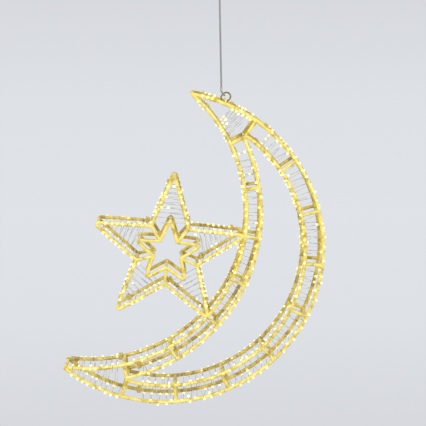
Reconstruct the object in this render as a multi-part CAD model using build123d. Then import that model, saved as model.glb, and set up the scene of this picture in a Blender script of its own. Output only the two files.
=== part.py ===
"""A hanging crescent and star of welded gold wire, wound with a string of small lamps.

Millimetres. +X is right and +Z up as the ornament is seen from the front, +Y runs from front to back.
The origin is where a hook carries the loop at the top of the hanging wire.
"""
from build123d import *
import math
import os

# Crescent: four wire arcs about two centres, to the wires' axes
rim_radius = 256.5
rim_band = 28.5
bay_radius = 257.2
bay_band = 22.8
bay_shift_x = -124.4
bay_shift_z = 59.6
top_tip_cut = 0.0
low_tip_cut = 4.0
gap_tip_round = 3.4
rim_bays = 8

# Both faces of the frame
frame_depth = 47.4
rail_diameter = 6.0
rung_diameter = 5.5

# Star, welded into the crescent's hollow by two of its points
star_points = 5
star_point_radius = 129.2
star_valley_radius = 51.4
star_inner_point_radius = 55.6
star_inner_valley_radius = 23.5
star_round = 3.2
star_inner_round = 3.0
star_wire_diameter = 5.5
star_rung_diameter = 5.0
star_direction = -25.6
star_lean = 2.2
weld_bite = 0.5

# Ring and the pin that it hangs from
hanger_angle = 67.85
pin_diameter = 3.0
pin_overhang = 3.0
ring_wire_diameter = 2.5
ring_diameter = 15.4
running_gap = 0.3

# Hanging wire, its eye round the ring, and the swivel at its top
wire_diameter = 2.8
wire_length = 158.0
wire_lean = 1.2
eye_angle = 130.0
eye_reach = 4.4
eye_drop = 1.5
eye_bend = 2.5
ferrule_length = 6.0
ferrule_wall = 0.5
stop_diameter = 4.8
stop_length = 3.0
barrel_wall = 1.0
barrel_lip = 2.0
loop_wire_diameter = 2.0
loop_width = 12.0
loop_height = 22.0
loop_neck = 3.0

# String of lamps
lamp_wire_diameter = 1.2
lamp_wire_gap = 0.6
lamp_diameter = 3.2
lamp_bore_gap = 0.05
rim_turns = 22
bay_turns_between_points = 8
bay_turns = 23
low_horn_turns = 8
top_horn_turns = 3
top_tip_turns = 2
star_arm_turns = 7
clip_width = 9.0
clip_length = 7.0
clip_back = 2.0
clip_bore_gap = 0.1
gland_diameter = 7.0
gland_length = 14.0
lead_bore = 3.0
gland_angle = 50.0

# Shares of a horn or an arm that the string covers
low_horn_span = (0.08, 0.83)
top_horn_span = (0.085, 0.39)
top_tip_span = (0.67, 0.83)
star_arm_span = (-0.08, 0.72)

# Values that follow from those above
rail_r = rail_diameter / 2
rung_r = rung_diameter / 2
star_r = star_wire_diameter / 2
star_rung_r = star_rung_diameter / 2
pin_r = pin_diameter / 2
ring_r = ring_wire_diameter / 2
wire_r = wire_diameter / 2
ring_straight = wire_diameter
lamp_wire_r = lamp_wire_diameter / 2
lamp_r = lamp_diameter / 2
front = -frame_depth / 2
back = frame_depth / 2
rim_gap_radius = rim_radius - rim_band
bay_gap_radius = bay_radius + bay_band


def along(angle):
    """Unit vector in the frame's plane, in degrees up from +X."""
    return Vector(math.cos(math.radians(angle)), 0, math.sin(math.radians(angle)))


def angle_of(point, center):
    offset = point - center
    return math.degrees(math.atan2(offset.Z, offset.X))


def face(point, y):
    """The same place of the outline on another plane of the frame."""
    return Vector(point.X, y, point.Z)


def tube(path, radius):
    """A wire of round section along a smooth path."""
    section = Plane(origin=path @ 0, z_dir=path % 0) * Circle(radius)
    return sweep(section, path=path).solid()


def rod(start, end, radius):
    axis = end - start
    place = Plane(origin=start, z_dir=axis)
    return (place * Cylinder(radius, axis.length, align=(Align.CENTER, Align.CENTER, Align.MIN))).solid()


def coped(start, end, radius, *rails):
    """A rod cut to fit the round of the wires that it is welded between."""
    bar = rod(start, end, radius)
    for rail in rails:
        bar = (bar - rail).solids().sort_by(SortBy.VOLUME)[-1]
    return bar


# The hanger: places first, worked down from the hook
lean = Vector(-math.sin(math.radians(wire_lean)), 0, math.cos(math.radians(wire_lean)))
barrel_r = stop_diameter / 2 + running_gap + barrel_wall
cavity_length = stop_length + 2 * running_gap
barrel_length = barrel_lip + cavity_length + barrel_wall
loop_axis_height = loop_height + loop_wire_diameter / 2
barrel_top = lean * -loop_height
barrel_bottom = barrel_top - lean * barrel_length
wire_top = barrel_bottom + lean * (barrel_lip + running_gap)
wire_bottom = wire_top - lean * wire_length
eye_round = ring_r + running_gap + wire_r
ring_axis_r = (ring_diameter - ring_wire_diameter) / 2
eye_corner = wire_bottom - lean * (ferrule_length + eye_drop)
crown = eye_corner - along(eye_angle) * eye_reach
ring_run = along(eye_angle - 90)
ring_center = crown - along(eye_angle) * ring_axis_r
ring_low_bend = ring_center - ring_run * (ring_straight / 2)
pin = ring_low_bend + Vector(0, 0, ring_r + running_gap + pin_r - ring_axis_r)

# The crescent's centres follow from the pin, which lies on the rim
rim_center = pin - along(hanger_angle) * (rim_radius + rail_r + pin_r)
bay_center = rim_center + Vector(bay_shift_x, 0, bay_shift_z)


def crescent(outer_radius, inner_radius, rounding):
    """Corner circles, tangent points and ends of the two tips, the top one first."""
    span = bay_center - rim_center
    to_outer = outer_radius - rounding
    to_inner = inner_radius + rounding
    forward = (to_outer**2 - to_inner**2 + span.length**2) / (2 * span.length)
    sideways = math.sqrt(to_outer**2 - forward**2)
    unit = span.normalized()
    across = Vector(unit.Z, 0, -unit.X)
    tips = []
    for side in (1, -1):
        center = rim_center + unit * forward + across * (side * sideways)
        outward = (center - rim_center).normalized()
        inward = (bay_center - center).normalized()
        point = (outward + inward).normalized()
        tips.append((center + outward * rounding, center + point * rounding, center + inward * rounding))
    return tips


gap_tips = crescent(rim_gap_radius, bay_gap_radius, gap_tip_round)
crossings = [tip[1] for tip in crescent(rim_radius, bay_radius, 0)]
rim_wire_ends = []
bay_wire_ends = []
for crossing, cut, turn in zip(crossings, (top_tip_cut, low_tip_cut), (-1, 1)):
    rim_wire_ends.append(angle_of(crossing, rim_center) + turn * math.degrees(cut / rim_radius))
    bay_wire_ends.append(angle_of(crossing, bay_center) + turn * math.degrees((cut + rail_r) / bay_radius))


def arc_wire(center, radius, ends, y):
    """A wire of the frame, bent to an arc between two angles."""
    angles = (ends[0], (ends[0] + ends[1]) / 2, ends[1])
    arc = ThreePointArc(*(face(center + along(angle) * radius, y) for angle in angles))
    return tube(Wire([arc]), rail_r)


def gap_wire(y):
    """A closed wire: the outer arc, a rounded tip, the inner arc and the other tip."""
    top, low = gap_tips
    outer_middle = (angle_of(top[0], rim_center) + angle_of(low[0], rim_center)) / 2
    inner_middle = (angle_of(top[2], bay_center) + angle_of(low[2], bay_center)) / 2
    outer_point = rim_center + along(outer_middle) * rim_gap_radius
    inner_point = bay_center + along(inner_middle) * bay_gap_radius
    stretches = (
        (top[0], outer_point, low[0]),
        (low[0], low[1], low[2]),
        (low[2], inner_point, top[2]),
        (top[2], top[1], top[0]),
    )
    arcs = [ThreePointArc(*(face(point, y) for point in stretch)) for stretch in stretches]
    return tube(Wire(arcs), rail_r)


rims = {}
bays = {}
gaps = {}
for y in (front, back):
    rims[y] = arc_wire(rim_center, rim_radius, rim_wire_ends, y)
    whole = arc_wire(bay_center, bay_radius, bay_wire_ends, y)
    bays[y] = (whole - rims[y]).solids().sort_by(SortBy.VOLUME)[-1]
    gaps[y] = gap_wire(y)

# Star: its distance from the hollow's centre lets the upper of the two points bite into the rail
point_step = 360 / star_points
star_axis = star_direction + star_lean
half_step = math.radians(point_step / 2)
edge_run = star_point_radius - star_valley_radius * math.cos(half_step)
edge_rise = star_valley_radius * math.sin(half_step)
point_half_angle = math.atan2(edge_rise, edge_run)
point_loss = star_round * (1 / math.sin(point_half_angle) - 1)
star_reach = star_point_radius - point_loss
welded_angles = (star_axis + point_step / 2, star_axis - point_step / 2)
weld_distance = bay_radius - rail_r - star_r + weld_bite
weld_turn = math.radians(welded_angles[0] - star_direction)
star_distance = math.sqrt(weld_distance**2 - (star_reach * math.sin(weld_turn)) ** 2)
star_distance -= star_reach * math.cos(weld_turn)
star_center = bay_center + along(star_direction) * star_distance
point_angles = [welded_angles[0] + point_step * number for number in range(star_points)]
valley_angles = [angle + point_step / 2 for angle in point_angles]
weld_points = [star_center + along(angle) * star_reach for angle in welded_angles]
weld_angles = [angle_of(point, bay_center) for point in weld_points]


def star_wire(point_radius, valley_radius, rounding, y):
    corners = []
    for point_angle, valley_angle in zip(point_angles, valley_angles):
        corners.append(face(star_center + along(point_angle) * point_radius, y))
        corners.append(face(star_center + along(valley_angle) * valley_radius, y))
    path = FilletPolyline(*corners, radius=rounding, close=True)
    return tube(Wire(path.edges()), star_r)


stars = {}
inner_stars = {}
for y in (front, back):
    whole = star_wire(star_point_radius, star_valley_radius, star_round, y)
    stars[y] = (whole - bays[y]).solids().sort_by(SortBy.VOLUME)[-1]
    inner_stars[y] = star_wire(star_inner_point_radius, star_inner_valley_radius, star_inner_round, y)

# Rungs of the crescent: even bays on the rim, and on the hollow side one at each weld and one between
top_end, low_end = gap_tips[0][1], gap_tips[1][1]
rim_ends = (angle_of(top_end, rim_center), angle_of(low_end, rim_center))
bay_ends = (angle_of(top_end, bay_center), angle_of(low_end, bay_center))
rim_step = (rim_ends[1] - rim_ends[0]) / rim_bays
rim_rung_angles = [rim_ends[0] + rim_step * number for number in range(1, rim_bays)]
bay_stations = (bay_ends[0], *weld_angles, bay_ends[1])
bay_rung_angles = list(weld_angles)
for upper, lower in zip(bay_stations[:-1], bay_stations[1:]):
    bay_rung_angles.append((upper + lower) / 2)

rim_rungs = []
for angle in rim_rung_angles:
    rim_rungs.append((rim_center + along(angle) * rim_gap_radius, rim_center + along(angle) * rim_radius))
bay_rungs = []
for angle in bay_rung_angles:
    bay_rungs.append((bay_center + along(angle) * bay_gap_radius, bay_center + along(angle) * bay_radius))
end_rungs = []
for end, rim_angle, bay_angle in zip((top_end, low_end), rim_ends, bay_ends):
    end_rungs.append((end, rim_center + along(rim_angle) * rim_radius))
    end_rungs.append((end, bay_center + along(bay_angle) * bay_radius))


def spacer_rod(point, radius):
    """A bar from the front wire's axis to the back one's."""
    return rod(face(point, front), face(point, back), radius)


def rungs_on(places, y, radius, *rails):
    """Bars across one face of the frame, fitted to its wires and to the spacers at both ends."""
    rungs = []
    for start, end in places:
        ends = (spacer_rod(start, radius), spacer_rod(end, radius))
        rungs.append(coped(face(start, y), face(end, y), radius, *rails, *ends))
    return rungs


def spacers_at(points, radius, *wires):
    """Bars from the front face to the back one, fitted to the wires of both."""
    rails = [wire[y] for wire in wires for y in (front, back)]
    return [coped(face(spot, front), face(spot, back), radius, *rails) for spot in points]


rim_points = [outer for inner, outer in rim_rungs]
rim_gap_points = [inner for inner, outer in rim_rungs]
bay_points = [inner for outer, inner in bay_rungs]
bay_gap_points = [outer for outer, inner in bay_rungs]
end_points = [end for start, end in end_rungs]
crescent_end_points = [rim_center + along(angle) * rim_radius for angle in rim_wire_ends]
gap_end_points = [tip[1] for tip in gap_tips]

# Star rungs and spacers, at the rounded corners of both star wires
inner_run = star_inner_point_radius - star_inner_valley_radius * math.cos(half_step)
inner_rise = star_inner_valley_radius * math.sin(half_step)
inner_half_angle = math.atan2(inner_rise, inner_run)
inner_reach = star_inner_point_radius - star_inner_round * (1 / math.sin(inner_half_angle) - 1)
valley_half_angle = point_half_angle + half_step
inner_valley_half_angle = inner_half_angle + half_step
valley_reach = star_valley_radius + star_round * (1 / math.cos(math.pi / 2 - valley_half_angle) - 1)
inner_valley_reach = star_inner_valley_radius
inner_valley_reach += star_inner_round * (1 / math.cos(math.pi / 2 - inner_valley_half_angle) - 1)
star_rungs = []
for angle in valley_angles:
    ray = along(angle)
    star_rungs.append((star_center + ray * inner_valley_reach, star_center + ray * valley_reach))
free_angles = point_angles[1 : star_points - 1]
star_tip_points = [star_center + along(angle) * star_reach for angle in free_angles]
star_valley_points = [outer for inner, outer in star_rungs]
star_inner_valley_points = [inner for inner, outer in star_rungs]
star_inner_tip_points = [star_center + along(angle) * inner_reach for angle in point_angles]


# The axes of every bar that a lamp must keep clear of
bars = []
for y in (front, back):
    for a, b in rim_rungs + bay_rungs + end_rungs + star_rungs:
        bars.append((face(a, y), face(b, y)))
bar_points = rim_points + rim_gap_points + bay_points + bay_gap_points + end_points + crescent_end_points
bar_points += gap_end_points + star_tip_points + star_valley_points + star_inner_tip_points + weld_points
for point in bar_points:
    bars.append((face(point, front), face(point, back)))


def distance_to_bar(point, bar):
    start, end = bar
    axis = end - start
    share = max(0, min(1, (point - start).dot(axis) / axis.dot(axis)))
    return (point - (start + axis * share)).length


# Windings: each runs round the four wires of its band, a quarter turn from wire to wire


def rim_section(share):
    angle = rim_ends[0] + (rim_ends[1] - rim_ends[0]) * share
    return rim_center + along(angle) * rim_radius, rim_center + along(angle) * rim_gap_radius


def bay_section(share):
    angle = bay_ends[0] + (bay_ends[1] - bay_ends[0]) * share
    return bay_center + along(angle) * bay_gap_radius, bay_center + along(angle) * bay_radius


def horn_section(number):
    """From an end rung, at 0, to where the two wires meet, at 1."""
    rim_span = (rim_ends[number], angle_of(crossings[number], rim_center))
    bay_span = (bay_ends[number], angle_of(crossings[number], bay_center))

    def section(share):
        rim_angle = rim_span[0] + (rim_span[1] - rim_span[0]) * share
        bay_angle = bay_span[0] + (bay_span[1] - bay_span[0]) * share
        return rim_center + along(rim_angle) * rim_radius, bay_center + along(bay_angle) * bay_radius

    return section


def arm_section(number):
    """From the inner star's point, at 0, to the arm's own point, at 1."""
    middle = along(point_angles[number])
    sideways = Vector(-middle.Z, 0, middle.X)

    def section(share):
        reach = star_inner_point_radius + (star_point_radius - star_inner_point_radius) * share
        half_width = (star_point_radius - reach) * math.tan(point_half_angle)
        spot = star_center + middle * reach
        return spot + sideways * half_width, spot - sideways * half_width

    return section


def run_of(section, share, side):
    """The direction of a wire of the band, 0 for the outer and 1 for the inner."""
    small = 0.001
    return (section(share + small)[side] - section(share - small)[side]).normalized()


def winding_points(section, span, turns, rail_radius):
    """Start, corners and end of the string's route, and the clips that hold its two ends."""
    wrap = rail_radius + lamp_wire_gap + lamp_wire_r
    quarter = (span[1] - span[0]) / (4 * turns + 1)
    corners = ((0, 1), (0, -1), (1, -1), (1, 1))
    outer, inner = section(span[0])
    across = (outer - inner).normalized()
    places = [(inner, across, run_of(section, span[0], 1))]
    points = [face(inner + across * clip_width / 2, back + wrap)]
    for number in range(4 * turns):
        side, depth = corners[number % 4]
        outer, inner = section(span[0] + quarter * (number + 1))
        across = (outer - inner).normalized()
        spot = inner - across * wrap if side else outer + across * wrap
        points.append(face(spot, (back + wrap) * depth))
    outer, inner = section(span[1])
    across = (outer - inner).normalized()
    places.append((outer, across * -1, run_of(section, span[1], 0)))
    points.append(face(outer - across * clip_width / 2, back + wrap))
    return points, places, wrap


def rounded_route(points, radius):
    """Straight runs joined by arcs of one radius."""
    edges = []
    start = points[0]
    for before, corner, after in zip(points[:-2], points[1:-1], points[2:]):
        come = (before - corner).normalized()
        leave = (after - corner).normalized()
        half = math.acos(max(-1, min(1, come.dot(leave)))) / 2
        trim = radius / math.tan(half)
        middle = (come + leave).normalized()
        center = corner + middle * (radius / math.sin(half))
        arc_start = corner + come * trim
        arc_end = corner + leave * trim
        edges.append(Edge.make_line(start, arc_start))
        edges.append(Edge.make_three_point_arc(arc_start, center - middle * radius, arc_end))
        start = arc_end
    edges.append(Edge.make_line(start, points[-1]))
    return edges


def least_gap(edges, turns):
    """The smallest clear distance between one turn and the next, measured on points."""
    samples = []
    for edge in edges:
        samples.extend(edge @ share for share in (0, 0.25, 0.5, 0.75))
    turn = len(samples) // turns
    gap = math.inf
    for number, point in enumerate(samples):
        for other in samples[number + turn // 2 : number + turn * 3 // 2]:
            gap = min(gap, (point - other).length)
    return gap - lamp_wire_diameter


def lamp_at(start, end):
    """A drop of clear resin moulded round the wire, half way along a run."""
    place = Plane(origin=(start + end) / 2, z_dir=end - start)
    drop = Sphere(lamp_r) - Cylinder(lamp_wire_r + lamp_bore_gap, 2 * lamp_diameter)
    return (place * drop).solid()


def clip_at(place, rail_radius):
    """A block pushed on to a back wire, with a flat side where the string ends."""
    spot, toward_string, run = place
    wrap = rail_radius + lamp_wire_gap + lamp_wire_r
    low = -rail_radius - clip_back
    high = wrap + lamp_wire_r + clip_back
    seat = Plane(origin=face(spot, back), x_dir=toward_string, z_dir=Vector(0, 1, 0))
    block = Box(clip_width, clip_length, high - low, align=(Align.CENTER, Align.CENTER, Align.MIN))
    block = fillet(block.edges().filter_by(Axis.Z), clip_back / 2)
    reach = run * (clip_length + clip_width)
    bore = rod(face(spot - reach, back), face(spot + reach, back), rail_radius + clip_bore_gap)
    return (seat * Pos(0, 0, low) * block - bore).solid()


strings = {}
lamps = {}
clips = {"crescent": [], "star": []}


def wind(name, section, span, turns, rail_radius, clip_group, lamp_group):
    points, places, wrap = winding_points(section, span, turns, rail_radius)
    edges = rounded_route(points, wrap)
    route = Wire(edges)
    string = tube(route, lamp_wire_r)
    strings[name] = string
    clear = rail_radius + lamp_r + running_gap
    for number, (start, end) in enumerate(zip(points[1:-1], points[2:])):
        middle = (start + end) / 2
        if number % 4 == 3 or min(distance_to_bar(middle, bar) for bar in bars) < clear:
            continue
        lamps.setdefault(lamp_group, []).append(lamp_at(start, end))
    clips[clip_group].extend(clip_at(place, rail_radius) for place in places)
    filled = string.volume / (math.pi * lamp_wire_r**2 * route.length)
    gap = least_gap(edges, turns)
    print(f"{name}: {turns} turns, {route.length:.0f} mm, least gap {gap:.2f}, volume share {filled:.4f}")


# The hollow side's turns keep in step with the two welds, so none crosses a star point
bay_length = bay_ends[0] - bay_ends[1]
bay_pitch = (weld_angles[0] - weld_angles[1]) / bay_turns_between_points
turns_above = math.floor((bay_ends[0] - weld_angles[0]) / bay_pitch - 1.0)
bay_start = (bay_ends[0] - weld_angles[0] - bay_pitch * (turns_above + 0.375)) / bay_length
bay_span = (bay_start, bay_start + bay_pitch * (bay_turns + 0.25) / bay_length)
rim_turn = 1 / (rim_turns + 2)
rim_span = (rim_turn * 0.875, rim_turn * (rim_turns + 1.125))

wind("outer_band", rim_section, rim_span, rim_turns, rail_r, "crescent", "outer_band")
wind("inner_band", bay_section, bay_span, bay_turns, rail_r, "crescent", "inner_band")
wind("top_horn", horn_section(0), top_horn_span, top_horn_turns, rail_r, "crescent", "horns")
wind("top_tip", horn_section(0), top_tip_span, top_tip_turns, rail_r, "crescent", "horns")
wind("low_horn", horn_section(1), low_horn_span, low_horn_turns, rail_r, "crescent", "horns")
for number in range(star_points):
    wind(f"star_arm_{number + 1}", arm_section(number), star_arm_span, star_arm_turns, star_r, "star", "star")


def swivel_loop():
    """A drawn-in loop of wire, closed round the neck of the swivel."""
    half = (loop_width + loop_wire_diameter) / 2
    neck = loop_wire_diameter / 2 + running_gap
    shoulder = loop_height * 0.6
    outline = (
        (-neck, 0),
        (-neck, loop_neck),
        (-half, shoulder),
        (-half, loop_axis_height),
        (half, loop_axis_height),
        (half, shoulder),
        (neck, loop_neck),
        (neck, 0),
    )
    seat = Plane(origin=barrel_top, x_dir=Vector(lean.Z, 0, -lean.X), z_dir=Vector(0, -1, 0))
    bend = loop_wire_diameter * 2
    crest = half * 0.98
    path = FilletPolyline(*(seat.from_local_coords(Vector(x, y, 0)) for x, y in outline),
                          radius=[bend, bend, crest, crest, bend, bend])
    return tube(Wire(path.edges()), loop_wire_diameter / 2)


def swivel_barrel():
    body = rod(barrel_bottom, barrel_top, barrel_r)
    body = fillet(body.edges(), barrel_wall * 0.6)
    cavity_floor = barrel_bottom + lean * barrel_lip
    body -= rod(cavity_floor, cavity_floor + lean * cavity_length, stop_diameter / 2 + running_gap)
    body -= rod(barrel_bottom - lean, cavity_floor + lean * running_gap, wire_r + running_gap)
    return body.solid()


def wire_stop():
    return rod(wire_top, wire_top + lean * stop_length, stop_diameter / 2)


def wire_ferrule():
    """A crimped sleeve with a leg of the eye on each side of the wire."""
    width = 2 * (eye_round + wire_r + ferrule_wall)
    thickness = wire_diameter + 2 * ferrule_wall
    seat = Plane(origin=wire_bottom, x_dir=Vector(0, 1, 0), z_dir=lean * -1)
    return extrude(seat * SlotOverall(width, thickness), ferrule_length).solid()


def wire_eye():
    """A bight of the wire round the ring: two legs bent over to it, and a half turn inside it."""
    sleeve_end = wire_bottom - lean * ferrule_length
    sideways = Vector(0, eye_round, 0)
    legs = []
    for offset in (sideways * -1, sideways):
        leg = FilletPolyline(sleeve_end + offset, eye_corner + offset, crown + offset, radius=eye_bend)
        legs.extend(leg.edges())
    inside = crown - along(eye_angle) * eye_round
    bight = Edge.make_three_point_arc(crown - sideways, inside, crown + sideways)
    return tube(Wire([*legs, bight]), wire_r)


def hanging_ring():
    """A ring with a short straight run, on which it turns in the eye."""
    seat = Plane(origin=ring_center, x_dir=ring_run, z_dir=Vector(0, -1, 0))
    outline = seat * SlotCenterToCenter(ring_straight, 2 * ring_axis_r)
    return tube(outline.face().outer_wire(), ring_r)


def hanger_pin():
    start = face(pin, front - rail_r - pin_overhang)
    end = face(pin, back + rail_r + pin_overhang)
    return fillet(rod(start, end, pin_r).edges(), pin_r * 0.5).solid()


def lead_gland():
    """A sealed outlet on the back rim for the string's lead."""
    spot = rim_center + along(gland_angle) * rim_radius
    block = clip_at((spot, along(gland_angle), along(gland_angle + 90)), rail_r)
    foot = face(spot, back + rail_r + lamp_wire_gap)
    sleeve = rod(foot, foot + Vector(0, gland_length, 0), gland_diameter / 2)
    sleeve -= rod(foot + Vector(0, gland_length / 2, 0), foot + Vector(0, 2 * gland_length, 0), lead_bore / 2)
    return (block + sleeve).solid()


nodes = {
    "swivel_loop": swivel_loop(),
    "swivel_barrel": swivel_barrel(),
    "wire_stop": wire_stop(),
    "hanging_wire": rod(wire_bottom, wire_top, wire_r),
    "wire_ferrule": wire_ferrule(),
    "wire_eye": wire_eye(),
    "hanging_ring": hanging_ring(),
    "hanger_pin": hanger_pin(),
    "crescent_front_rim_wire": rims[front],
    "crescent_back_rim_wire": rims[back],
    "crescent_front_bay_wire": bays[front],
    "crescent_back_bay_wire": bays[back],
    "crescent_front_gap_outline": gaps[front],
    "crescent_back_gap_outline": gaps[back],
    "crescent_front_rim_rungs": rungs_on(rim_rungs, front, rung_r, rims[front], gaps[front]),
    "crescent_back_rim_rungs": rungs_on(rim_rungs, back, rung_r, rims[back], gaps[back]),
    "crescent_front_bay_rungs": rungs_on(bay_rungs, front, rung_r, bays[front], gaps[front]),
    "crescent_back_bay_rungs": rungs_on(bay_rungs, back, rung_r, bays[back], gaps[back]),
    "crescent_front_end_rungs": rungs_on(end_rungs, front, rung_r, rims[front], bays[front], gaps[front]),
    "crescent_back_end_rungs": rungs_on(end_rungs, back, rung_r, rims[back], bays[back], gaps[back]),
    "crescent_rim_spacers": spacers_at(rim_points, rung_r, rims),
    "crescent_rim_gap_spacers": spacers_at(rim_gap_points, rung_r, gaps),
    "crescent_bay_gap_spacers": spacers_at(bay_gap_points, rung_r, gaps),
    "crescent_bay_spacers": spacers_at(bay_points, rung_r, bays, stars),
    "crescent_end_spacers": spacers_at(end_points, rung_r, rims, bays),
    "crescent_gap_tip_spacers": spacers_at(gap_end_points, rung_r, gaps),
    "crescent_tip_spacers": spacers_at(crescent_end_points, rung_r, rims, bays),
    "star_front_outline": stars[front],
    "star_back_outline": stars[back],
    "star_front_inner_outline": inner_stars[front],
    "star_back_inner_outline": inner_stars[back],
    "star_front_rungs": rungs_on(star_rungs, front, star_rung_r, stars[front], inner_stars[front]),
    "star_back_rungs": rungs_on(star_rungs, back, star_rung_r, stars[back], inner_stars[back]),
    "star_tip_spacers": spacers_at(star_tip_points, star_rung_r, stars),
    "star_valley_spacers": spacers_at(star_valley_points, star_rung_r, stars),
    "star_inner_tip_spacers": spacers_at(star_inner_tip_points, star_rung_r, inner_stars),
    "star_inner_valley_spacers": spacers_at(star_inner_valley_points, star_rung_r, inner_stars),
    "crescent_string_clips": clips["crescent"],
    "star_string_clips": clips["star"],
    "lead_gland": lead_gland(),
}
for name, string in strings.items():
    nodes[f"lamp_wire_{name}"] = string
for group, solids in lamps.items():
    nodes[f"lamps_{group}"] = solids

os.makedirs("parts", exist_ok=True)
for name, shape in nodes.items():
    if isinstance(shape, list):
        shape = Compound(children=shape)
    export_step(shape, f"parts/{name}.step")
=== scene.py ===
"""Looks of the hanging crescent and star: gold wire frame, lamp string, ring, hanging wire and studio."""
import math
import random

import bmesh
import bpy
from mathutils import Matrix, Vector


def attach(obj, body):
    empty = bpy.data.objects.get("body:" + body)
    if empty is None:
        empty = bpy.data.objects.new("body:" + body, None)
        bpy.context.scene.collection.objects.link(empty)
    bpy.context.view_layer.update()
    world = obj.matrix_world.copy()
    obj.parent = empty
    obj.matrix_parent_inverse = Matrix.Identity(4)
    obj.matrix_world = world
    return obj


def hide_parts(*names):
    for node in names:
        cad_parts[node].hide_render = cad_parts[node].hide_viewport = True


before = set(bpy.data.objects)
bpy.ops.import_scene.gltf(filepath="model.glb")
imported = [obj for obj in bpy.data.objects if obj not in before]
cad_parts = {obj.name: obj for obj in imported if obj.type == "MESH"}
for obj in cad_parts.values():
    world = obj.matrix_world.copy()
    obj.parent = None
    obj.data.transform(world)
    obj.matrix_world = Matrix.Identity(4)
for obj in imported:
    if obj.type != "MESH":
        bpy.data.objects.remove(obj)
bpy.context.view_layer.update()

MM = 0.001

# Sizes of the wire frame, in millimetres
rim_center = Vector((-88.487, 0, -446.108))
bay_center = Vector((-212.887, 0, -386.508))
rim_radius = 256.5
rim_gap_radius = 228.0
bay_radius = 257.2
bay_gap_radius = 280.0
low_tip_cut = 4.0
gap_tip_round = 3.4
half_depth = 23.7
rail_r = 3.0
rung_r = 2.75
star_r = 2.75
star_rung_r = 2.5
star_center = Vector((-83.075, 0, -448.703))
star_angle = 12.6
star_point_radius = 129.2
star_valley_radius = 51.4
star_inner_point_radius = 55.6
star_inner_valley_radius = 23.5
star_inner_post_inset = 4.0
star_reach = 122.58
weld_angles = (-8.09, -41.11)
rim_bays = 8
weld_lip = 0.5
weld_half_length = 1.3

# Hanging wire
wire_top = Vector((0.551, 0, -26.294))
wire_bottom = Vector((3.86, 0, -184.26))
wire_diameter = 2.8

# Lamp string: its route has three short steps round each wire, then two halves of the run to the next
steps_round_wire = 3
steps_per_wire = 5
face_turn = 1.8
cable_r = 0.45
cable_gap = 0.15
cable_slack = 0.7
lamp_r = 1.9
lamp_stretch = 1.3
lamp_clearance = 0.3
lamp_search_step = 1.0
core_share = 0.55
lamp_spacing = 9.0
lamp_rail_gap = 2.8
lamp_rail_reach = 9.0
lamp_seats = ("face",) * 6 + ("edge",) + ("depth",) * 5 + ("across",) * 2
crowded_seats = ("face",) * 3 + ("depth",) * 3 + ("across",) * 6
crowded_spacing = 7.0


def along(angle):
    return Vector((math.cos(math.radians(angle)), 0, math.sin(math.radians(angle))))


def angle_of(point, center):
    return math.degrees(math.atan2(point.z - center.z, point.x - center.x))


def at_depth(point, y):
    return Vector((point.x, y, point.z))


def tips_of(outer_radius, inner_radius, rounding):
    """Tangent points and ends of the two tips of a crescent, the top one first."""
    span = bay_center - rim_center
    to_outer = outer_radius - rounding
    to_inner = inner_radius + rounding
    forward = (to_outer**2 - to_inner**2 + span.length**2) / (2 * span.length)
    sideways = math.sqrt(to_outer**2 - forward**2)
    unit = span.normalized()
    across = Vector((unit.z, 0, -unit.x))
    tips = []
    for side in (1, -1):
        center = rim_center + unit * forward + across * (side * sideways)
        outward = (center - rim_center).normalized()
        inward = (bay_center - center).normalized()
        point = (outward + inward).normalized()
        tips.append((center + outward * rounding, center + point * rounding, center + inward * rounding))
    return tips


crossings = [tip[1] for tip in tips_of(rim_radius, bay_radius, 0)]
gap_tips = tips_of(rim_gap_radius, bay_gap_radius, gap_tip_round)
top_end, low_end = gap_tips[0][1], gap_tips[1][1]
rim_ends = (angle_of(top_end, rim_center), angle_of(low_end, rim_center))
bay_ends = (angle_of(top_end, bay_center), angle_of(low_end, bay_center))
point_angles = [star_angle + 72 * number for number in range(5)]
valley_angles = [angle + 36 for angle in point_angles]
edge_run = star_point_radius - star_valley_radius * math.cos(math.radians(36))
point_slope = star_valley_radius * math.sin(math.radians(36)) / edge_run

# Bars of the frame: rungs lie in a face, spacers run from front to back
rim_rungs = []
for number in range(1, rim_bays):
    ray = along(rim_ends[0] + (rim_ends[1] - rim_ends[0]) * number / rim_bays)
    rim_rungs.append((rim_center + ray * rim_gap_radius, rim_center + ray * rim_radius))
bay_stations = (bay_ends[0], *weld_angles, bay_ends[1])
bay_rung_angles = list(weld_angles)
for upper, lower in zip(bay_stations[:-1], bay_stations[1:]):
    bay_rung_angles.append((upper + lower) / 2)
bay_rungs = []
for angle in bay_rung_angles:
    ray = along(angle)
    bay_rungs.append((bay_center + ray * bay_gap_radius, bay_center + ray * bay_radius))
end_rungs = []
for end, rim_angle, bay_angle in zip((top_end, low_end), rim_ends, bay_ends):
    end_rungs.append((end, rim_center + along(rim_angle) * rim_radius))
    end_rungs.append((end, bay_center + along(bay_angle) * bay_radius))
star_rungs = []
for angle in valley_angles:
    ray = along(angle)
    star_rungs.append((star_center + ray * star_inner_valley_radius, star_center + ray * star_valley_radius))
crescent_posts = [spot for rung in rim_rungs + bay_rungs for spot in rung]
crescent_posts += [outer for inner, outer in end_rungs] + [top_end, low_end]
low_tip_angle = angle_of(crossings[1], rim_center) + math.degrees(low_tip_cut / rim_radius)
crescent_posts += [crossings[0], rim_center + along(low_tip_angle) * rim_radius]
star_posts = [spot for rung in star_rungs for spot in rung]
star_posts += [star_center + along(angle) * star_reach for angle in point_angles]
star_inner_post_radius = star_inner_point_radius - star_inner_post_inset
star_posts += [star_center + along(angle) * star_inner_post_radius for angle in point_angles]


def bar_axes():
    axes = []
    for y in (-half_depth, half_depth):
        for start, end in rim_rungs + bay_rungs + end_rungs + star_rungs:
            axes.append((at_depth(start, y), at_depth(end, y)))
    for spot in crescent_posts + star_posts:
        axes.append((at_depth(spot, -half_depth), at_depth(spot, half_depth)))
    return axes


bars = bar_axes()


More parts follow.
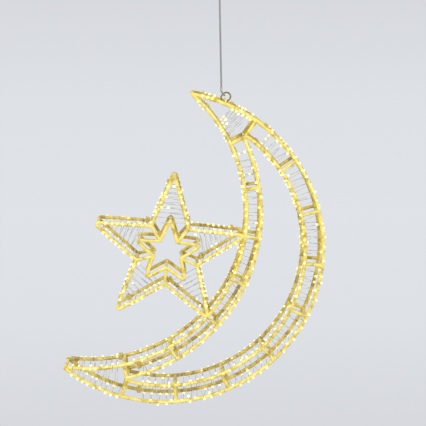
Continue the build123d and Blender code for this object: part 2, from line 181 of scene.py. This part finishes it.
def distance_to_bar(point, bar):
    start, end = bar
    axis = end - start
    share = max(0.0, min(1.0, (point - start).dot(axis) / axis.dot(axis)))
    return (point - start - axis * share).length


# Materials


def new_material(name):
    material = bpy.data.materials.new(name)
    material.use_nodes = True
    nodes = material.node_tree.nodes
    return material, nodes, material.node_tree.links, nodes["Principled BSDF"]


def object_noise(nodes, links, scale, detail=4.0, roughness=0.6, stretch=(1, 1, 1)):
    """Noise in the object's own metres."""
    coordinates = nodes.new("ShaderNodeTexCoord")
    mapping = nodes.new("ShaderNodeMapping")
    mapping.inputs["Scale"].default_value = stretch
    noise = nodes.new("ShaderNodeTexNoise")
    noise.inputs["Scale"].default_value = scale
    noise.inputs["Detail"].default_value = detail
    noise.inputs["Roughness"].default_value = roughness
    links.new(coordinates.outputs["Object"], mapping.inputs["Vector"])
    links.new(mapping.outputs["Vector"], noise.inputs["Vector"])
    return noise.outputs["Fac"]


def colour_ramp(nodes, links, factor, stops):
    ramp = nodes.new("ShaderNodeValToRGB")
    elements = ramp.color_ramp.elements
    while len(elements) < len(stops):
        elements.new(0.5)
    for element, (position, colour) in zip(elements, stops):
        element.position = position
        element.color = (*colour, 1)
    links.new(factor, ramp.inputs["Fac"])
    return ramp.outputs["Color"]


def value_range(nodes, links, factor, low, high):
    spread = nodes.new("ShaderNodeMapRange")
    spread.inputs["To Min"].default_value = low
    spread.inputs["To Max"].default_value = high
    links.new(factor, spread.inputs["Value"])
    return spread.outputs["Result"]


def add_bump(nodes, links, shader, height, strength, distance):
    bump = nodes.new("ShaderNodeBump")
    bump.inputs["Strength"].default_value = strength
    bump.inputs["Distance"].default_value = distance
    links.new(height, bump.inputs["Height"])
    links.new(bump.outputs["Normal"], shader.inputs["Normal"])


def gold_paint(name, light, body, worn_and_painted_shade):
    """Sprayed gold on drawn wire: uneven coat, small runs and a few dull spots; the darker patches are partly
    wear and partly painted shade, and the lighter patches are partly uneven coat and partly painted lamp
    light.
    """
    material, nodes, links, shader = new_material(name)
    patches = object_noise(nodes, links, 75.0, 5.0)
    grain = object_noise(nodes, links, 900.0, 3.0)
    # Random patches: the darker tone is wear and painted shade, and the lighter tone is uneven coat and
    # painted lamp light.
    colour = colour_ramp(nodes, links, patches, ((0.38, worn_and_painted_shade), (0.48, body), (0.64, light)))
    links.new(colour, shader.inputs["Base Color"])
    links.new(value_range(nodes, links, patches, 0.42, 0.26), shader.inputs["Roughness"])
    shader.inputs["Metallic"].default_value = 0.15
    shader.inputs["Coat Weight"].default_value = 0.1
    shader.inputs["Coat Roughness"].default_value = 0.25
    add_bump(nodes, links, shader, grain, 0.25, 0.0003)
    return material


def cable_skin():
    """Thin clear-coated wire, with the two cores' twist as a fine ripple."""
    material, nodes, links, shader = new_material("string_cable")
    tone = object_noise(nodes, links, 120.0, 4.0)
    colour = colour_ramp(nodes, links, tone, ((0.36, (0.30, 0.30, 0.27)), (0.62, (0.68, 0.67, 0.62))))
    links.new(colour, shader.inputs["Base Color"])
    links.new(value_range(nodes, links, tone, 0.35, 0.55), shader.inputs["Roughness"])
    ripple = object_noise(nodes, links, 1500.0, 2.0)
    add_bump(nodes, links, shader, ripple, 0.3, 0.0002)
    return material


def lamp_resin():
    """Clear resin drops that carry the light of the lamp inside them, some warmer than others."""
    material, nodes, links, shader = new_material("lamp_drop")
    tone = object_noise(nodes, links, 60.0, 2.0)
    colour = colour_ramp(nodes, links, tone, ((0.42, (1.0, 0.76, 0.20)), (0.60, (1.0, 0.92, 0.46))))
    links.new(colour, shader.inputs["Emission Color"])
    shader.inputs["Emission Strength"].default_value = 0.95
    links.new(colour, shader.inputs["Base Color"])
    shader.inputs["Alpha"].default_value = 0.35
    shader.inputs["Roughness"].default_value = 0.2
    return material


def lamp_core():
    """The lit lamp inside each drop."""
    material, nodes, links, shader = new_material("lamp_core")
    tone = object_noise(nodes, links, 60.0, 2.0)
    colour = colour_ramp(nodes, links, tone, ((0.42, (1.0, 0.84, 0.32)), (0.60, (1.0, 0.97, 0.72))))
    links.new(colour, shader.inputs["Emission Color"])
    shader.inputs["Emission Strength"].default_value = 1.05
    links.new(colour, shader.inputs["Base Color"])
    shader.inputs["Roughness"].default_value = 0.3
    return material


def clip_skin():
    material, nodes, links, shader = new_material("string_clip")
    tone = object_noise(nodes, links, 200.0, 3.0)
    colour = colour_ramp(nodes, links, tone, ((0.3, (0.48, 0.37, 0.08)), (0.7, (0.62, 0.50, 0.14))))
    links.new(colour, shader.inputs["Base Color"])
    links.new(value_range(nodes, links, tone, 0.3, 0.45), shader.inputs["Roughness"])
    return material


def dull_brass():
    material, nodes, links, shader = new_material("ring_metal")
    tone = object_noise(nodes, links, 400.0, 5.0)
    colour = colour_ramp(nodes, links, tone, ((0.3, (0.20, 0.13, 0.04)), (0.7, (0.42, 0.30, 0.10))))
    links.new(colour, shader.inputs["Base Color"])
    shader.inputs["Metallic"].default_value = 0.8
    links.new(value_range(nodes, links, tone, 0.3, 0.5), shader.inputs["Roughness"])
    add_bump(nodes, links, shader, tone, 0.2, 0.0002)
    return material


def drawn_steel(name, dark, pale, metallic):
    material, nodes, links, shader = new_material(name)
    tone = object_noise(nodes, links, 700.0, 4.0, stretch=(1, 1, 0.15))
    colour = colour_ramp(nodes, links, tone, ((0.3, dark), (0.7, pale)))
    links.new(colour, shader.inputs["Base Color"])
    shader.inputs["Metallic"].default_value = metallic
    links.new(value_range(nodes, links, tone, 0.32, 0.5), shader.inputs["Roughness"])
    add_bump(nodes, links, shader, tone, 0.25, 0.0002)
    return material


gold_front = gold_paint("gold_front", (0.92, 0.80, 0.25), (0.83, 0.68, 0.15), (0.55, 0.41, 0.06))
# The back face gets a darker copy of the same gold paint: painted shade, since the back rails are the same
# paint as the front ones.
gold_back = gold_paint("gold_back", (0.82, 0.66, 0.14), (0.62, 0.47, 0.07), (0.38, 0.27, 0.04))
cable_material = cable_skin()
resin_material = lamp_resin()
core_material = lamp_core()
clip_material = clip_skin()
ring_material = dull_brass()
steel_material = drawn_steel("wire_steel", (0.20, 0.21, 0.21), (0.31, 0.32, 0.32), 0.3)
sleeve_material = drawn_steel("sleeve_metal", (0.42, 0.42, 0.43), (0.62, 0.62, 0.63), 0.7)


def dress(node, material):
    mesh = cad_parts[node].data
    mesh.materials.clear()
    mesh.materials.append(material)


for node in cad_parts:
    if node.startswith("lamp"):
        continue
    if node in ("swivel_loop", "wire_eye", "wire_stop", "hanging_wire"):
        dress(node, steel_material)
    elif node in ("swivel_barrel", "wire_ferrule"):
        dress(node, sleeve_material)
    elif node == "hanging_ring":
        dress(node, ring_material)
    elif node.endswith("clips") or node == "lead_gland":
        dress(node, clip_material)
    # Back-face parts get the darker copy of the gold paint, which is painted shade.
    elif "_back_" in node:
        dress(node, gold_back)
    else:
        dress(node, gold_front)


# Welds: a small uneven collar of metal at each end of every bar


def weld_blob(vertices, polygons, spot, direction, radius, dice):
    turn = direction.to_track_quat("Z", "Y").to_matrix()
    rings = 5
    sides = 10
    first = len(vertices)
    lump = [dice.uniform(0.9, 1.12) for number in range(sides)]
    for ring in range(rings):
        lift = math.radians(-70 + 140 * ring / (rings - 1))
        for number in range(sides):
            around = math.tau * number / sides
            wide = radius * lump[number] * math.cos(lift)
            height = weld_half_length * math.sin(lift)
            point = Vector((wide * math.cos(around), wide * math.sin(around), height))
            vertices.append((spot + turn @ point) * MM)
    for ring in range(rings - 1):
        for number in range(sides):
            other = (number + 1) % sides
            low, high = first + ring * sides, first + (ring + 1) * sides
            polygons.append((low + number, low + other, high + other, high + number))
    polygons.append([first + number for number in reversed(range(sides))])
    polygons.append([first + (rings - 1) * sides + number for number in range(sides)])


def welds(name, y, material, seed):
    """The welds of one face of the frame."""
    dice = random.Random(seed)
    vertices = []
    polygons = []
    crescent_rungs = rim_rungs + bay_rungs + end_rungs
    for rungs, bar_r, wire_r in ((crescent_rungs, rung_r, rail_r), (star_rungs, star_rung_r, star_r)):
        for start, end in rungs:
            run = (end - start).normalized()
            for spot, direction in ((start, run), (end, -run)):
                seat = at_depth(spot + direction * wire_r, y)
                weld_blob(vertices, polygons, seat, direction, bar_r + weld_lip, dice)
    inward = Vector((0, -math.copysign(1, y), 0))
    for posts, bar_r, wire_r in ((crescent_posts, rung_r, rail_r), (star_posts, star_rung_r, star_r)):
        for spot in posts:
            weld_blob(vertices, polygons, at_depth(spot, y) + inward * wire_r, inward, bar_r + weld_lip, dice)
    mesh = bpy.data.meshes.new(name)
    mesh.from_pydata(vertices, [], polygons)
    mesh.polygons.foreach_set("use_smooth", [True] * len(mesh.polygons))
    mesh.materials.append(material)
    piece = bpy.data.objects.new(name, mesh)
    bpy.context.collection.objects.link(piece)
    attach(piece, "ornament")


welds("welds_front", -half_depth, gold_front, 21)
# The back welds also get the darker copy of the gold paint, which is painted shade.
welds("welds_back", half_depth, gold_back, 22)


# Lamp string


def rim_section(share):
    ray = along(rim_ends[0] + (rim_ends[1] - rim_ends[0]) * share)
    return rim_center + ray * rim_radius, rim_center + ray * rim_gap_radius


def bay_section(share):
    ray = along(bay_ends[0] + (bay_ends[1] - bay_ends[0]) * share)
    return bay_center + ray * bay_gap_radius, bay_center + ray * bay_radius


def horn_section(number):
    rim_span = (rim_ends[number], angle_of(crossings[number], rim_center))
    bay_span = (bay_ends[number], angle_of(crossings[number], bay_center))

    def section(share):
        rim_ray = along(rim_span[0] + (rim_span[1] - rim_span[0]) * share)
        bay_ray = along(bay_span[0] + (bay_span[1] - bay_span[0]) * share)
        return rim_center + rim_ray * rim_radius, bay_center + bay_ray * bay_radius

    return section


def arm_section(number):
    middle = along(point_angles[number])
    sideways = Vector((-middle.z, 0, middle.x))

    def section(share):
        reach = star_inner_point_radius + (star_point_radius - star_inner_point_radius) * share
        half_width = (star_point_radius - reach) * point_slope
        spot = star_center + middle * reach
        return spot + sideways * half_width, spot - sideways * half_width

    return section


def hugged_corner(spot, across, side, depth, wrap):
    """Points where the string bends over one wire, in the order that the string runs."""
    outward = across if side == 0 else across * -1
    from_face = (side == 0) == (depth > 0)
    sweep = (90, 60, 30, 0) if from_face else (0, 30, 60, 90)
    points = []
    for angle in sweep:
        turn = math.radians(angle)
        away = outward * math.cos(turn) + Vector((0, depth * math.sin(turn), 0))
        points.append((at_depth(spot, depth * half_depth) + away * wrap, away))
    return points


def winding_route(section, span, turns, rail_radius, dice, crooked):
    """A string wound round four wires by hand: uneven pitch, straight runs a little slack."""
    wrap = rail_radius + cable_r + cable_gap
    quarter = (span[1] - span[0]) / (4 * turns)
    route = []
    order = ((0, 1), (0, -1), (1, -1), (1, 1))
    for number in range(4 * turns):
        side, depth = order[number % 4]
        share = span[0] + quarter * (number + 0.5 + dice.uniform(-crooked, crooked))
        pair = section(share)
        across = (pair[0] - pair[1]).normalized()
        corner = hugged_corner(pair[side], across, side, depth, wrap)
        if route:
            middle = (route[-1][0] + corner[0][0]) / 2
            slack = Vector((dice.uniform(-1, 1), 0, dice.uniform(-1, 1))) * cable_slack
            route.append((middle + slack, Vector()))
        route.extend(corner)
    return route


def cable(name, routes, replaced):
    """All the runs of string on one part of the frame, as one curve."""
    curve = bpy.data.curves.new(name, "CURVE")
    curve.dimensions = "3D"
    curve.bevel_depth = cable_r * MM
    curve.bevel_resolution = 2
    curve.use_fill_caps = True
    for route in routes:
        spline = curve.splines.new("POLY")
        spline.points.add(len(route) - 1)
        for point, (spot, away) in zip(spline.points, route):
            point.co = (*(spot * MM), 1)
    curve.materials.append(cable_material)
    piece = bpy.data.objects.new(name, curve)
    bpy.context.collection.objects.link(piece)
    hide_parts(*replaced)
    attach(piece, "ornament")


def seat_of(index, away, next_away):
    """Where a stretch of the string lies: on a wire's face or edge, or on a run in depth or across."""
    if index % steps_per_wire < steps_round_wire:
        return "face" if abs(away.y + next_away.y) > face_turn else "edge"
    return "across" if index // steps_per_wire % 2 else "depth"


def has_room(index, seat, from_start, to_end):
    """Whether a lamp fits on a stretch: on a run it keeps off the wires, and in depth it stays near one."""
    if index % steps_per_wire < steps_round_wire:
        return seat == "face" or index % steps_per_wire == 1
    from_wire = from_start if index % steps_per_wire == steps_round_wire else to_end
    return from_wire > lamp_rail_gap and (seat == "across" or from_wire < lamp_rail_reach)


def lamp_places(route, spacing, seats, dice):
    """Spots and directions along the string; a lamp on a bend is lifted to rest on the wire below it."""
    lift = lamp_r - cable_r - cable_gap
    keep_off = rung_r + lamp_r + lamp_clearance
    lengths = [0.0]
    for (start, away), (end, next_away) in zip(route[:-1], route[1:]):
        lengths.append(lengths[-1] + (end - start).length)
    places = []
    wanted = spacing * dice.uniform(0.3, 0.9)
    seat = dice.choice(seats)
    index = 0
    while wanted < lengths[-1]:
        while lengths[index + 1] < wanted:
            index += 1
        (start, away), (end, next_away) = route[index], route[index + 1]
        step = end - start
        spot = start + step * ((wanted - lengths[index]) / step.length)
        if index % steps_per_wire < steps_round_wire:
            spot = (start + end) / 2 + (away + next_away).normalized() * lift
        fits = seat_of(index, away, next_away) == seat
        fits = fits and has_room(index, seat, wanted - lengths[index], lengths[index + 1] - wanted)
        if not fits or min(distance_to_bar(spot, bar) for bar in bars) < keep_off:
            wanted += lamp_search_step
            continue
        places.append((spot, step.normalized()))
        wanted += spacing * dice.uniform(0.75, 1.25)
        seat = dice.choice(seats)
    return places


def lamp_drops(name, places, replaced, dice):
    """Small resin drops drawn out along the wire, each with its lamp inside."""
    template = bmesh.new()
    bmesh.ops.create_uvsphere(template, u_segments=10, v_segments=8, radius=1.0)
    shape = [vertex.co.copy() for vertex in template.verts]
    faces = [[vertex.index for vertex in face.verts] for face in template.faces]
    template.free()
    vertices = []
    polygons = []
    for spot, direction in places:
        turn = direction.to_track_quat("Z", "Y").to_matrix()
        drop_size = lamp_r * dice.uniform(0.9, 1.1)
        for size in (drop_size, drop_size * core_share):
            first = len(vertices)
            for point in shape:
                drawn = Vector((point.x * size, point.y * size, point.z * size * lamp_stretch))
                vertices.append((spot + turn @ drawn) * MM)
            polygons.extend([first + corner for corner in face] for face in faces)
    mesh = bpy.data.meshes.new(name)
    mesh.from_pydata(vertices, [], polygons)
    mesh.polygons.foreach_set("use_smooth", [True] * len(mesh.polygons))
    mesh.materials.append(resin_material)
    mesh.materials.append(core_material)
    for number, polygon in enumerate(mesh.polygons):
        polygon.material_index = number // len(faces) % 2
    piece = bpy.data.objects.new(name, mesh)
    bpy.context.collection.objects.link(piece)
    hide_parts(*replaced)
    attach(piece, "ornament")


def string_part(name, windings, cable_nodes, lamp_nodes, rail_radius, seed, crooked=0.8, crowded=()):
    """String and lamps of one part of the frame; crowded numbers the windings whose lamps lie close."""
    dice = random.Random(seed)
    routes = [winding_route(*winding, rail_radius, dice, crooked) for winding in windings]
    cable(f"cable_{name}", routes, cable_nodes)
    places = []
    for number, route in enumerate(routes):
        if number in crowded:
            places += lamp_places(route, crowded_spacing, crowded_seats, dice)
        else:
            places += lamp_places(route, lamp_spacing, lamp_seats, dice)
    lamp_drops(f"drops_{name}", places, lamp_nodes, dice)


rim_winding = (rim_section, (0.036, 0.964), 52)
bay_winding = (bay_section, (0.03, 0.97), 36)
string_part("rim", [rim_winding], ["lamp_wire_outer_band"], ["lamps_outer_band"], rail_r, 11)
string_part("bay", [bay_winding], ["lamp_wire_inner_band"], ["lamps_inner_band"], rail_r, 12)
string_part(
    "horns",
    [
        (horn_section(0), (0.05, 0.41), 6),
        (horn_section(0), (0.67, 0.90), 3),
        (horn_section(1), (0.05, 0.88), 9),
    ],
    ["lamp_wire_top_horn", "lamp_wire_top_tip", "lamp_wire_low_horn"],
    ["lamps_horns"],
    rail_r,
    13,
    crowded=(0,),
)
string_part(
    "star",
    [(arm_section(number), (-0.12, 0.78), 8) for number in range(5)],
    [f"lamp_wire_star_arm_{number + 1}" for number in range(5)],
    ["lamps_star"],
    star_r,
    14,
    crooked=0.5,
)


def hanging_cord():
    """The taut steel wire, from the sleeve at the ring up to the swivel."""
    curve = bpy.data.curves.new("hanging_cord", "CURVE")
    curve.dimensions = "3D"
    curve.bevel_depth = wire_diameter / 2 * MM
    curve.bevel_resolution = 4
    curve.use_fill_caps = True
    spline = curve.splines.new("NURBS")
    spline.points.add(3)
    for point, share in zip(spline.points, (0, 0.33, 0.67, 1)):
        point.co = (*(wire_bottom.lerp(wire_top, share) * MM), 1)
    spline.order_u = 3
    spline.use_endpoint_u = True
    curve.materials.append(steel_material)
    piece = bpy.data.objects.new("hanging_cord", curve)
    bpy.context.collection.objects.link(piece)
    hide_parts("hanging_wire")
    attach(piece, "line")


hanging_cord()

# Studio
studio_low = -2.2
studio_back = 2.8
studio_half_width = 6.0
backdrop_middle = -0.95
backdrop_reach = 1.05
paper_edge = (0.666, 0.680, 0.718)
paper_between = (0.728, 0.749, 0.783)
paper_centre = (0.744, 0.765, 0.800)
air_colour = (1.0, 0.99, 0.96)
air_strength = 0.9
light_size = 1.6
key_power = 25.0
fill_power = 15.0


def seen_or_lighting(nodes, links, seen, lighting):
    """One look for the camera, mirrors and glass, and another for the light that falls on the object."""
    rays = nodes.new("ShaderNodeLightPath")
    looking = rays.outputs["Is Camera Ray"]
    for ray in ("Is Glossy Ray", "Is Transmission Ray"):
        either = nodes.new("ShaderNodeMath")
        either.operation = "MAXIMUM"
        links.new(looking, either.inputs[0])
        links.new(rays.outputs[ray], either.inputs[1])
        looking = either.outputs["Value"]
    mix = nodes.new("ShaderNodeMixShader")
    links.new(looking, mix.inputs["Fac"])
    links.new(lighting, mix.inputs[1])
    links.new(seen, mix.inputs[2])
    return mix.outputs["Shader"]


def studio_paper():
    """Pale paper that the camera sees as a glow, evenly lit apart from painted shade that makes it a little
    darker towards its top and bottom.
    """
    material, nodes, links, shader = new_material("studio_paper")
    shader.inputs["Base Color"].default_value = (0.75, 0.76, 0.78, 1)
    shader.inputs["Roughness"].default_value = 0.9
    coordinates = nodes.new("ShaderNodeTexCoord")
    split = nodes.new("ShaderNodeSeparateXYZ")
    links.new(coordinates.outputs["Object"], split.inputs["Vector"])
    height = nodes.new("ShaderNodeMapRange")
    height.inputs["From Min"].default_value = backdrop_middle - backdrop_reach
    height.inputs["From Max"].default_value = backdrop_middle + backdrop_reach
    links.new(split.outputs["Z"], height.inputs["Value"])
    # Painted light: the glow the camera sees, with painted shade towards the top and bottom edges.
    tones = (paper_edge, paper_between, paper_centre, paper_between, paper_edge)
    stops = [(number / 4, tone) for number, tone in enumerate(tones)]
    colour = colour_ramp(nodes, links, height.outputs["Result"], stops)
    glow = nodes.new("ShaderNodeEmission")
    links.new(colour, glow.inputs["Color"])
    mix = seen_or_lighting(nodes, links, glow.outputs["Emission"], shader.outputs["BSDF"])
    links.new(mix, nodes["Material Output"].inputs["Surface"])
    return material


def studio_sweep():
    """A floor that curves up into a back wall."""
    bend = 0.6
    profile = [(-4.0, studio_low)]
    for step in range(9):
        turn = math.radians(90 * step / 8)
        y = studio_back - bend + bend * math.sin(turn)
        z = studio_low + bend - bend * math.cos(turn)
        profile.append((y, z))
    profile.append((studio_back, 3.0))
    vertices = [(x, y, z) for y, z in profile for x in (-studio_half_width, studio_half_width)]
    faces = [(2 * i, 2 * i + 1, 2 * i + 3, 2 * i + 2) for i in range(len(profile) - 1)]
    mesh = bpy.data.meshes.new("studio_sweep")
    mesh.from_pydata(vertices, [], faces)
    mesh.polygons.foreach_set("use_smooth", [True] * len(mesh.polygons))
    mesh.materials.append(studio_paper())
    sweep = bpy.data.objects.new("studio_sweep", mesh)
    bpy.context.collection.objects.link(sweep)


studio_sweep()


def area_light(name, place, target, size, power, colour):
    light = bpy.data.lights.new(name, "AREA")
    light.size = size
    light.energy = power
    light.color = colour
    lamp = bpy.data.objects.new(name, light)
    lamp.location = place
    lamp.rotation_euler = (Vector(target) - Vector(place)).to_track_quat("-Z", "Y").to_euler()
    bpy.context.collection.objects.link(lamp)


middle = (-0.08, 0.0, -0.43)
area_light("key_light", (-1.2, -1.8, 1.0), middle, light_size, key_power, (1.0, 0.99, 0.95))
area_light("fill_light", (1.8, -1.2, 0.3), middle, light_size, fill_power, (1.0, 0.99, 0.96))


def studio_air():
    world = bpy.data.worlds.new("studio_air")
    world.use_nodes = True
    nodes = world.node_tree.nodes
    links = world.node_tree.links
    lighting = nodes["Background"]
    lighting.inputs["Color"].default_value = (*air_colour, 1)
    lighting.inputs["Strength"].default_value = air_strength
    paper = nodes.new("ShaderNodeBackground")
    paper.inputs["Color"].default_value = (*paper_edge, 1)
    mix = seen_or_lighting(nodes, links, paper.outputs["Background"], lighting.outputs["Background"])
    links.new(mix, nodes["World Output"].inputs["Surface"])
    bpy.context.scene.world = world


studio_air()
bpy.context.scene.view_settings.view_transform = "Standard"

# Camera at the photograph's viewing angle
camera_data = bpy.data.cameras.new("photo_camera")
camera_data.lens = 84.5
camera_data.sensor_width = 36.0
camera = bpy.data.objects.new("photo_camera", camera_data)
eye = Vector((-0.044124, -1.5928, -0.071963))
forward = Vector((0.02140, 0.98069, -0.19441))
camera.location = eye
camera.rotation_euler = forward.to_track_quat("-Z", "Y").to_euler()
bpy.context.collection.objects.link(camera)
bpy.context.scene.camera = camera
